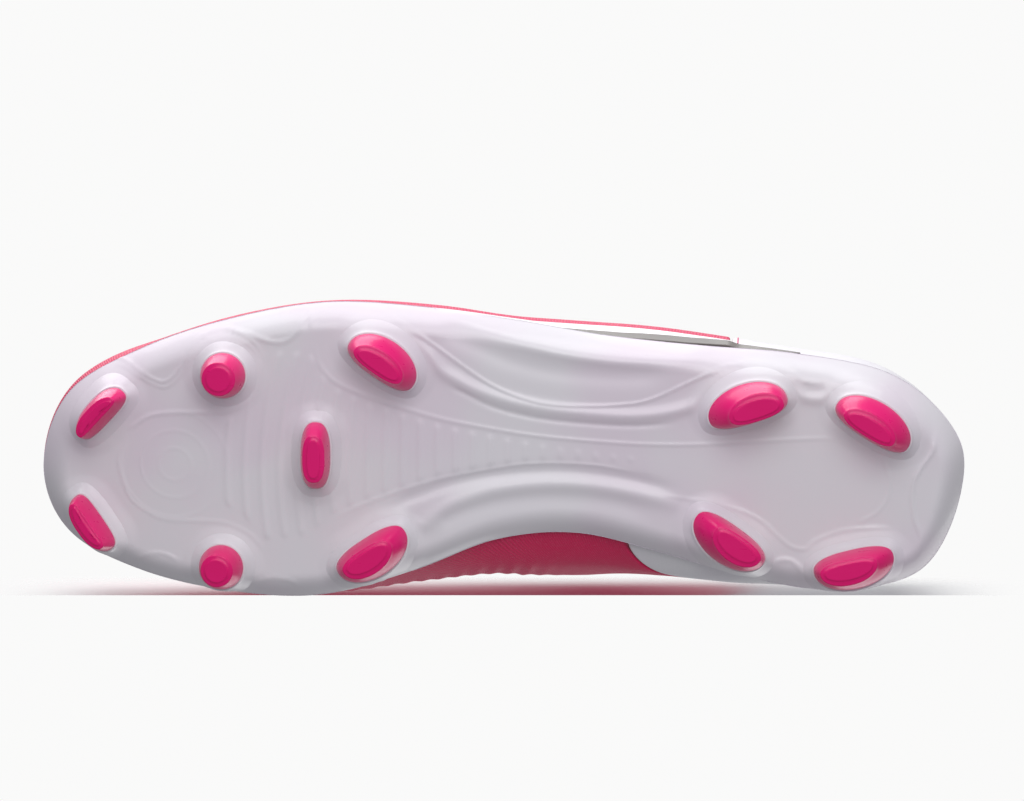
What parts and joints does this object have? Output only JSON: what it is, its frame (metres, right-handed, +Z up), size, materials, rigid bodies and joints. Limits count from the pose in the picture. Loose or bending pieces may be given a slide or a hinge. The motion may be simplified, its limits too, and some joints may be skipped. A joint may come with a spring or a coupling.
{
  "type": "soccer cleat",
  "caption": "Left low-cut football boot for firm ground: moulded sole plate with capped round and bladed studs, knit and film upper, padded collar, tongue, lace and loose insole.",
  "frame": {"origin": "middle of the boot's box in X and Y, on the ground under the stud tips", "axes": "+Z up with the studs down, toe towards -Y, heel towards +Y, outer (lateral) side towards +X"},
  "size_m": [0.0932, 0.2836, 0.1027],
  "materials": {
    "plate": "moulded, satin gloss, faintly translucent",
    "stud": "moulded, satin, slightly translucent at the edges",
    "knit": "ribbed knit under a thin clear film",
    "quarter": "coated synthetic, matt",
    "stiffener": "thermoformed sheet",
    "lining": "brushed lining over foam",
    "film": "heat-bonded film, satin",
    "stripe": "heat-bonded film, satin",
    "board": "stitched fibre board",
    "foam": "textile on foam",
    "webbing": "woven tape",
    "tongue_fabric": "thin padded knit",
    "lace": "woven flat lace"
  },
  "bodies": {
    "shoe": {"outsole_plate": "plate", "stud_toe_lateral": "stud", "stud_toe_medial": "stud", "stud_fore_lateral": "stud", "stud_fore_medial": "stud", "stud_center": "stud", "stud_ball_lateral": "stud", "stud_ball_medial": "stud", "stud_heel_front_lateral": "stud", "stud_heel_rear_lateral": "stud", "stud_heel_front_medial": "stud", "stud_heel_rear_medial": "stud", "lasting_board": "board", "vamp": "knit", "heel_quarter": "quarter", "heel_counter": "stiffener", "toe_puff": "stiffener", "collar_lining": "lining", "eyestay_lateral": "film", "eyestay_medial": "film", "wing_lateral": "film", "stripe_lateral": "stripe", "heel_tab": "webbing", "lace": "lace"},
    "tongue": {"tongue": "tongue_fabric"},
    "sockliner": {"sockliner": "foam"}
  },
  "joints": [
    {"name": "tongue_tilt", "type": "hinge", "parent": "shoe", "child": "tongue", "pos_m": [0, -0.069, 0.056], "axis": [-1, 0, 0], "range_deg": [0, 10], "stiffness_Nm_per_rad": 0.5, "springref_deg": -5.73},
    {"name": "sockliner_lift", "type": "hinge", "parent": "shoe", "child": "sockliner", "pos_m": [0, -0.1337, 0.0345], "axis": [1, 0, 0], "range_deg": [0, 4]}
  ]
}
